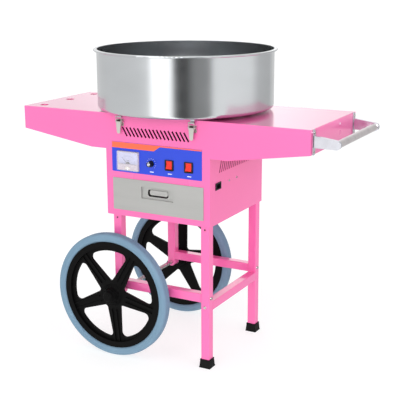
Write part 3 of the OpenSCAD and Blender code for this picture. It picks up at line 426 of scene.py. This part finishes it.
def lathe(mesh, profile, place, steps=48, closed=False):
    """Turns (radius, height) points about the axis of place; closed joins the last to the first."""
    rings = []
    for radius, height in profile:
        turns = steps if radius else 1
        angles = [math.tau * k / turns for k in range(turns)]
        rings.append([mesh.verts.new(place @ Vector((radius * math.cos(a), radius * math.sin(a), height)))
                      for a in angles])
    for first, second in zip(rings, rings[1:]):
        skin(mesh, first, second)
    if closed:
        skin(mesh, rings[-1], rings[0])


def slab(mesh, outline, low, high, place):
    """A flat plate: its outline is in the place's X and Y, from low to high along its Z."""
    rings = [[mesh.verts.new(place @ Vector((x, y, z))) for x, y in outline] for z in (low, high)]
    skin(mesh, rings[0], rings[1])
    mesh.faces.new(rings[1])
    mesh.faces.new(list(reversed(rings[0])))


def border(mesh, outer, inner, low, high, place):
    """A frame between two outlines of as many points, from low to high along the place's Z."""
    rings = [[mesh.verts.new(place @ Vector((x, y, z))) for x, y in outline]
             for outline, z in ((outer, low), (outer, high), (inner, high), (inner, low))]
    for first, second in zip(rings, rings[1:] + rings[:1]):
        skin(mesh, first, second)


def rectangle(width, height, x=0, y=0):
    return [(x + a * width / 2, y + b * height / 2) for a, b in ((-1, -1), (1, -1), (1, 1), (-1, 1))]


def rounded(width, height, radius, x=0, y=0, steps=5):
    points = []
    for quarter, (a, b) in enumerate(((1, 1), (-1, 1), (-1, -1), (1, -1))):
        for k in range(steps + 1):
            angle = math.radians(90 * (quarter + k / steps))
            points.append((x + a * (width / 2 - radius) + radius * math.cos(angle),
                           y + b * (height / 2 - radius) + radius * math.sin(angle)))
    return points


def half_disc(radius, steps, squash=1.0):
    """The round half of an outline, above the X axis."""
    angles = [math.pi * k / steps for k in range(steps + 1)]
    return [(radius * math.cos(a), squash * radius * math.sin(a)) for a in angles]


def plus_sign(arm, half):
    """An outline of four arms, each 2 x half wide."""
    points = []
    quarter = [(half, half), (half, arm), (-half, arm)]
    for _ in range(4):
        points += quarter
        quarter = [(-y, x) for x, y in quarter]
    return points


def dome(radius, height, foot=0.6, steps=5):
    """Profile of a low round head, with its foot sunk below its seat."""
    rim = [(radius * math.cos(a), height * math.sin(a))
           for a in (math.pi / 2 * k / steps for k in range(steps))]
    return [(0, -foot), (radius, -foot)] + rim + [(0, height)]


def tube(mesh, points, radius, sides=8, closed=False):
    """A round wire through the points, with frames carried along it."""
    path = [Vector(point) for point in points]
    count = len(path)
    rings = []
    normal = None
    for k in range(count):
        before = path[k - 1] if k or closed else path[0]
        after = path[(k + 1) % count] if k + 1 < count or closed else path[-1]
        along = (after - before).normalized()
        if normal is None:
            normal = along.orthogonal()
        normal = (normal - normal.dot(along) * along).normalized()
        side = along.cross(normal)
        rings.append([mesh.verts.new(path[k] + radius * (math.cos(a) * normal + math.sin(a) * side))
                      for a in (math.tau * n / sides for n in range(sides))])
    for first, second in zip(rings, rings[1:]):
        skin(mesh, first, second)
    if closed:
        skin(mesh, rings[-1], rings[0])
    else:
        mesh.faces.new(list(reversed(rings[0])))
        mesh.faces.new(rings[-1])


def curve_through(points, steps=8):
    """Catmull-Rom points through a short list of given ones."""
    ends = [points[0]] + list(points) + [points[-1]]
    out = []
    for a, b, c, d in zip(ends, ends[1:], ends[2:], ends[3:]):
        for k in range(steps):
            t = k / steps
            out.append([0.5 * (2 * q + (r - p) * t + (2 * p - 5 * q + 4 * r - s) * t * t
                               + (3 * q - p - 3 * r + s) * t ** 3) for p, q, r, s in zip(a, b, c, d)])
    return out + [list(points[-1])]


# ---- Control panel ----

# Prints are thin slabs: they start a little under the surface and stand out of it by PROUD
SUNK, PROUD = -0.3, 0.15

# Orange band along the panel's top, with a slanted step down to a thin stripe
BAND_IN, BAND_DOWN = 0.6, 0.5
BAND_TALL, BAND_THIN, BAND_STEP = 16.5, 3.4, (-6, 13)
BAND_PROUD = 0.2
panel_low, panel_high = span("control_panel")
panel_face = panel_low[1]
panel_mid = (panel_low[0] + panel_high[0]) / 2
on_panel = moved(0, panel_face, 0, "front")
left, right, top = panel_low[0] + BAND_IN, panel_high[0] - BAND_IN, panel_high[2] - BAND_DOWN
band = bmesh.new()
slab(band, [(left, top), (left, top - BAND_TALL), (panel_mid + BAND_STEP[0], top - BAND_TALL),
            (panel_mid + BAND_STEP[1], top - BAND_THIN), (right, top - BAND_THIN), (right, top)],
     SUNK, BAND_PROUD, on_panel)
add_piece("panel_band", band, "cart", "panel_blue", "panel_orange")

# A plain bar under each control, and the tick marks round the knob
MARK_DROPS = {"knob": 23, "rocker_heat": 24.5, "rocker_motor": 25.5}
MARK_W, MARK_H, MARK_ROUND, MARK_RIGHT = 13, 2.0, 0.7, 1.5
TICKS, TICK_R, TICK_LONG, TICK_THICK = 11, 14, 2.2, 0.7
TICK_START, TICK_SWEEP = -45, 270
knob_x, _, knob_z = middle("knob")
marks = bmesh.new()
for name, drop in MARK_DROPS.items():
    x, _, z = middle(name)
    slab(marks, rounded(MARK_W, MARK_H, MARK_ROUND, x + MARK_RIGHT, z - drop), SUNK, PROUD, on_panel)
for k in range(TICKS):
    turn = Matrix.Rotation(math.radians(TICK_START + TICK_SWEEP * k / (TICKS - 1)), 4, "Z")
    place = moved(knob_x, panel_face, knob_z, "front") @ turn
    slab(marks, rectangle(TICK_LONG, TICK_THICK, TICK_R, 0), SUNK, PROUD, place)
add_piece("panel_marks", marks, "cart", "panel_blue", "print_white")

# Meter's printed scale: an arc in short straight stretches, with a longer tick at every fifth
ARC_R, ARC_HALF, ARC_STEPS, ARC_THICK = 24, 46, 20, 0.4
LONG_EVERY, LONG_TICK, SHORT_TICK = 5, (3.6, 0.5), (2.0, 0.3)
HUB_DROP = 10
CARD_SUNK, ARC_PROUD = -0.2, 0.12
meter_low, meter_high = span("meter_window")
meter_x = (meter_low[0] + meter_high[0]) / 2
card_face = span("meter_dial")[0][1]
needle_hub_z = middle("meter_case")[2] - HUB_DROP
on_card = moved(meter_x, card_face, needle_hub_z, "front")
half_step = Matrix.Rotation(math.radians(ARC_HALF / ARC_STEPS), 4, "Z")
stretch_long = ARC_R * math.radians(2 * ARC_HALF / ARC_STEPS) * 1.02
scale = bmesh.new()
for k in range(ARC_STEPS + 1):
    turn = Matrix.Rotation(math.radians(90 - ARC_HALF + 2 * ARC_HALF * k / ARC_STEPS), 4, "Z")
    long, thick = SHORT_TICK if k % LONG_EVERY else LONG_TICK
    slab(scale, rectangle(long, thick, ARC_R + long / 2, 0), CARD_SUNK, PROUD, on_card @ turn)
    if k < ARC_STEPS:
        slab(scale, rectangle(ARC_THICK, stretch_long, ARC_R, 0), CARD_SUNK, ARC_PROUD,
             on_card @ turn @ half_step)
slab(scale, rounded(9, 1.6, 0.6, 0, 12), CARD_SUNK, PROUD, on_card)
add_piece("meter_scale", scale, "cart", "dial_card", "print_and_shadow_grey")

# Screw in the meter's cover that sets the needle's zero
ZERO_UP, ZERO_R, ZERO_TALL, ZERO_TURN = 6.5, 3.2, 1.1, 0.6
cover_face = meter_low[1]
zero_at = moved(meter_x, cover_face, meter_low[2] + ZERO_UP, "front")
zero = bmesh.new()
lathe(zero, dome(ZERO_R, ZERO_TALL), zero_at)
add_piece("zero_screw", zero, "cart", "dial_card", "print_white")
# Its slot is a dark bar standing on the head, painted shade of the slot
zero_slot_shade = bmesh.new()
slab(zero_slot_shade, rectangle(4.4, 0.8), 0.6, ZERO_TALL + PROUD, zero_at @ Matrix.Rotation(ZERO_TURN, 4, "Z"))
add_piece("zero_slot_painted_shade", zero_slot_shade, "cart", "black_plastic", "dark_metal_and_shade")

# Behind the clear cover: the dark hump over the needle's hub, the moulded half-round boss
# above the zero screw, and a dark line along the skirt's top, a painted shadow under the skirt's edge
HUMP_R, HUMP_TAIL, HUMP_DEEP, HUMP_UP = 6.5, 3, 1.6, 1.5
BOSS_R, BOSS_SQUASH, BOSS_DEEP, BOSS_UP = 8.5, 0.8, 1.2, 5.5
LINE_LONG, LINE_THICK, LINE_DEEP, LINE_UP = 58, 0.7, 0.3, 2.2
COVER_DEPTH = 1.7
hump = bmesh.new()
slab(hump, half_disc(HUMP_R, 14) + [(-HUMP_R, -HUMP_TAIL), (HUMP_R, -HUMP_TAIL)], 0, HUMP_DEEP,
     moved(meter_x, cover_face + COVER_DEPTH + HUMP_DEEP, needle_hub_z + HUMP_UP, "front"))
add_piece("needle_hump", hump, "cart", "black_plastic")
boss = bmesh.new()
slab(boss, half_disc(BOSS_R, 16, BOSS_SQUASH), 0, BOSS_DEEP,
     moved(meter_x, cover_face + COVER_DEPTH + 0.1, meter_low[2] + BOSS_UP, "front"))
add_piece("zero_boss", boss, "cart", "meter_plastic", "ceramic")
skirt_shadow_line = bmesh.new()
slab(skirt_shadow_line, rectangle(LINE_LONG, LINE_THICK), 0, LINE_DEEP,
     moved(meter_x, cover_face + COVER_DEPTH, needle_hub_z + LINE_UP, "front"))
add_piece("skirt_shadow_line", skirt_shadow_line, "cart", "meter_plastic", "print_and_shadow_grey")

# Knob: turned metal insert in its end, and a pointer line along its rim
INSERT = [(0, -1.4), (4.4, -1.4), (4.4, 0.1), (3.9, 0.45), (3.4, 0.3), (1.2, 0.1), (0.6, 0.3), (0, 0.35)]
knob_end = moved(knob_x, span("knob")[0][1], knob_z, "front")
insert = bmesh.new()
lathe(insert, INSERT, knob_end)
add_piece("knob_insert", insert, "knob_body", "chrome_plate")
pointer = bmesh.new()
slab(pointer, rectangle(0.9, 2.6, 0, 5.9), -0.9, 0.2, knob_end)
add_piece("knob_pointer", pointer, "knob_body", "dial_card", "print_white")

# ---- Bowl, latches and spinner ----

# Spot rivets of the bowl's four hooks on its floor, and the dark roller of each latch lever
LATCH_SIDES = {"fl": -1, "fr": -1, "bl": 1, "br": 1}
SEAT_TALL, BOWL_SHEET = 7, 1.2
RIVET_R, RIVET_TALL, RIVET_Y, RIVET_APART = 2.3, 0.9, 163.5, 7
ROLL_BORE, ROLL_R, ROLL_HALF, ROLL_ROUND = 1.6, 4.2, 6, 0.4
ROLL_Y, ROLL_DROP = 173.7, 3.4
roll_line = [(ROLL_BORE, 0), (ROLL_R - ROLL_ROUND, 0), (ROLL_R, 0.5), (ROLL_R, 2 * ROLL_HALF - 0.5),
             (ROLL_R - ROLL_ROUND, 2 * ROLL_HALF), (ROLL_BORE, 2 * ROLL_HALF)]
bowl_floor = span("left_shelf_top")[1][2] + SEAT_TALL + BOWL_SHEET
rivets = bmesh.new()
for tag, side in LATCH_SIDES.items():
    latch_x = middle("latch_lever_" + tag)[0]
    for off in (-RIVET_APART / 2, RIVET_APART / 2):
        lathe(rivets, dome(RIVET_R, RIVET_TALL), moved(latch_x + off, side * RIVET_Y, bowl_floor), 20)
    roll_z = span("latch_lever_" + tag)[1][2] - ROLL_DROP
    roll = bmesh.new()
    lathe(roll, roll_line, moved(latch_x - ROLL_HALF, side * ROLL_Y, roll_z, "right"), 28, closed=True)
    add_piece("latch_roll_" + tag, roll, "lever_" + tag, "black_plastic", "dark_metal_and_shade")
add_piece("hook_rivets", rivets, "bowl_body", "bowl_steel", "screw_steel")

# Heater: a coiled wire inside the slotted band
COIL_R, COIL_WIRE_R, COIL_TURNS, COIL_STEPS, WIRE_R = 56, 4.2, 64, 10, 0.6
axis_x, axis_y, _ = middle("bowl")
head_low, head_high = span("spinner_head")
coil_z = (head_low[2] + head_high[2]) / 2
coil_points = []
for k in range(COIL_TURNS * COIL_STEPS):
    around = math.tau * k / (COIL_TURNS * COIL_STEPS)
    twist = math.tau * k / COIL_STEPS
    reach = COIL_R + COIL_WIRE_R * math.cos(twist)
    coil_points.append((axis_x + reach * math.cos(around), axis_y + reach * math.sin(around),
                        coil_z + COIL_WIRE_R * math.sin(twist)))
coil = bmesh.new()
tube(coil, coil_points, WIRE_R, 5, closed=True)
add_piece("heater_coil", coil, "spinner", "screw_steel", "copper_iron")

# Ceramic posts that hold the coil, with a lid screw over each
POSTS, POST_START, POST_BELOW = 6, 30, 5.5
post_top = coil_z - head_low[2] - POST_BELOW
lid_top = span("spinner_lid")[1][2]
posts = bmesh.new()
lid_screws = bmesh.new()
for k in range(POSTS):
    angle = math.radians(360 / POSTS * k + POST_START)
    x, y = axis_x + COIL_R * math.cos(angle), axis_y + COIL_R * math.sin(angle)
    lathe(posts, [(0, 0), (3, 0), (3, 5), (2.2, 6), (2.2, post_top), (0, post_top)],
          moved(x, y, head_low[2] - 0.2), 20)
    lathe(lid_screws, dome(2.8, 1.3), moved(x, y, lid_top), 20)
add_piece("heater_posts", posts, "spinner", "dial_card", "ceramic")
add_piece("lid_screws", lid_screws, "spinner", "screw_steel")

# ---- Wheels ----

# A raised ring on the hub cap, a fine line round each side of the tyre, and five studs on the hub
CAP_RING = [(6.4, -0.4), (8.8, -0.4), (8.8, 0.3), (8.3, 0.7), (6.9, 0.7), (6.4, 0.3)]
TYRE_LINE = [(169.6, -0.4), (171.4, -0.4), (171.2, 0.35), (169.8, 0.35)]
STUDS, STUD_START, STUD_CIRCLE, STUD_OUT = 5, 18, 23.5, 13
STUD_R, STUD_TALL, STUD_FOOT = 3.2, 2.0, 1.5

for tag, side in (("front", -1), ("back", 1)):
    hub_x, _, hub_z = middle("hub_cap_" + tag)
    cap_y = span("hub_cap_" + tag)[0 if side < 0 else 1][1]
    ring = bmesh.new()
    lathe(ring, CAP_RING, moved(hub_x, cap_y, hub_z, tag), 48, closed=True)
    add_piece("cap_ring_" + tag, ring, tag + "_wheel", "wheel_plastic")
    tyre_low, tyre_high = span("tyre_" + tag)
    lines = bmesh.new()
    for y, way in ((tyre_low[1], "front"), (tyre_high[1], "back")):
        lathe(lines, TYRE_LINE, moved(hub_x, y, hub_z, way), 96, closed=True)
    add_piece("tyre_line_" + tag, lines, tag + "_wheel", "tyre_rubber")
    studs = bmesh.new()
    stud_y = (tyre_low[1] + tyre_high[1]) / 2 + side * STUD_OUT
    for k in range(STUDS):
        angle = math.radians(360 / STUDS * k + STUD_START)
        place = moved(hub_x + STUD_CIRCLE * math.cos(angle), stud_y,
                      hub_z + STUD_CIRCLE * math.sin(angle), tag)
        lathe(studs, dome(STUD_R, STUD_TALL, STUD_FOOT), place, 20)
    add_piece("hub_studs_" + tag, studs, tag + "_wheel", "wheel_plastic")

# ---- Stand and housing ----

# Moulded lips round the bottom and the top of each rubber foot
LIP_TALL, LIP_THICK, LIP_DOWN = 2.2, 2.5, 0.8
LIP_WIDER, LIP_NARROWER = 1.4, 2.6
feet_low, feet_high = span("foot_caps")
foot_w = feet_high[0] - feet_low[0]
foot_x = (feet_low[0] + feet_high[0]) / 2
foot_top = feet_high[2] - LIP_DOWN
lips = bmesh.new()
for foot_y in (feet_low[1] + foot_w / 2, feet_high[1] - foot_w / 2):
    place = moved(foot_x, foot_y, 0)
    for low, high, wide in ((0, LIP_TALL, foot_w + LIP_WIDER),
                            (foot_top - LIP_TALL, foot_top, foot_w - LIP_NARROWER)):
        inside = wide - 2 * LIP_THICK
        border(lips, rounded(wide, wide, 1.5), rounded(inside, inside, 0.8), low, high, place)
add_piece("foot_lips", lips, "cart", "black_rubber")

# Painted shade: a near-black sheet with a faint red tint, in a thin frame behind each side wall's vents,
# darkens the vents
SHEET, SHADE_SHEET_Z, SHADE_SHEET_WIDE, SHADE_SHEET_TALL = 1.5, 577, 226, 56
SHADE_SHEET_LAP, SHADE_SHEET_FRAME = 2, 4
housing_low, housing_high = span("housing_shell")
shade_sheet_face = rounded(SHADE_SHEET_TALL - 2 * SHADE_SHEET_LAP, SHADE_SHEET_WIDE - 2 * SHADE_SHEET_LAP, 3)
outer = rounded(SHADE_SHEET_TALL, SHADE_SHEET_WIDE, 4)
inner = rounded(SHADE_SHEET_TALL - 2 * SHADE_SHEET_FRAME, SHADE_SHEET_WIDE - 2 * SHADE_SHEET_FRAME, 2)
vent_shade_sheet = bmesh.new()
for wall_x, facing in ((housing_low[0] + SHEET, "right"), (housing_high[0] - SHEET, "left")):
    place = moved(wall_x, 0, SHADE_SHEET_Z, facing)
    slab(vent_shade_sheet, shade_sheet_face, 0.3, 0.6, place)
    border(vent_shade_sheet, outer, inner, 0.1, 1.4, place)
add_piece("vent_painted_shade", vent_shade_sheet, "cart", "black_plastic", "vent_shade_sheet")

# Sunk heads in the holes at the legs' tops, finished dark as painted shade in the holes
LEG_HEAD = [(0, -1.8), (2.3, -1.8), (2.3, -0.6), (1.6, -0.3), (0.9, -0.6), (0, -0.9)]
LEG_SCREW_DROP = 9
leg_holes = bmesh.new()
for side, end in (("front", 0), ("back", 1)):
    for hand in ("left", "right"):
        leg = f"leg_{side}_{hand}"
        place = moved(middle(leg)[0], span(leg)[end][1], housing_low[2] - LEG_SCREW_DROP, side)
        lathe(leg_holes, LEG_HEAD, place, 20)
add_piece("leg_holes", leg_holes, "cart", "screw_steel", "dark_metal_and_shade")

# Cross recesses of the pan-head screws, drawn as dark plus-shaped marks on the heads as painted shade:
# handle brackets, housing's right side, and back panel
BRACKET_SCREWS, BRACKET_HEAD_OUT = [(y, z) for y in (-151, 151) for z in (649, 698)], 5.4
SIDE_SCREWS, SIDE_HEAD_OUT = [(-52, 524), (-5, 524)], 1.6
BACK_SCREW_IN, BACK_SCREW_Z, BACK_HEAD_OUT = 7, (440, 680.5), 2.2
CROSS_ARM, CROSS_HALF, CROSS_TURN, CROSS_DEEP, CROSS_PROUD = 1.7, 0.35, 0.4, 0.5, 0.06
shelf_end = span("right_shelf")[1][0]
back_low, back_high = span("back_panel")
cross_at = [moved(shelf_end + BRACKET_HEAD_OUT, y, z, "right") for y, z in BRACKET_SCREWS]
cross_at += [moved(housing_high[0] + SIDE_HEAD_OUT, y, z, "right") for y, z in SIDE_SCREWS]
cross_at += [moved(x, back_high[1] + BACK_HEAD_OUT, z, "back")
             for x in (back_low[0] + BACK_SCREW_IN, back_high[0] - BACK_SCREW_IN) for z in BACK_SCREW_Z]
cross_shade_marks = bmesh.new()
for place in cross_at:
    slab(cross_shade_marks, plus_sign(CROSS_ARM, CROSS_HALF), -CROSS_DEEP, CROSS_PROUD,
         place @ Matrix.Rotation(CROSS_TURN, 4, "Z"))
add_piece("screw_cross_shade", cross_shade_marks, "cart", "screw_steel", "dark_metal_and_shade")

# Small pale plug in the right shelf's end
PLUG_Y, PLUG_Z, PLUG_R, PLUG_TALL = 43, 692, 3.0, 0.8
plug = bmesh.new()
lathe(plug, dome(PLUG_R, PLUG_TALL), moved(shelf_end, PLUG_Y, PLUG_Z, "right"), 24)
add_piece("shelf_plug", plug, "cart", "dial_card", "print_white")

# Leads inside the housing, from the mains inlet to the switches
LEADS = {"lead_live": ("lead_red", "rocker_motor", 3), "lead_neutral": ("lead_black", "rocker_heat", 0)}
LEAD_R, LEAD_FROM_Y, LEAD_FROM_Z = 1.3, -119.8, 522
inlet_x = span("power_inlet")[0][0]
switch_back = span("switch_housings")[1][1]
for name, (finish, target, off) in LEADS.items():
    x, _, z = middle(target)
    route = [(inlet_x + 1, LEAD_FROM_Y + 2 * off, LEAD_FROM_Z), (inlet_x - 6, -118, 526 + off),
             (inlet_x - 8, -121 - off, 550), ((inlet_x + x) / 2, -128, 566 + off),
             (x + 6, -134, z + 3), (x, switch_back + 2, z), (x, switch_back - 1, z)]
    lead = bmesh.new()
    tube(lead, curve_through(route), LEAD_R, 8)
    add_piece(name, lead, "cart", "black_plastic", finish)
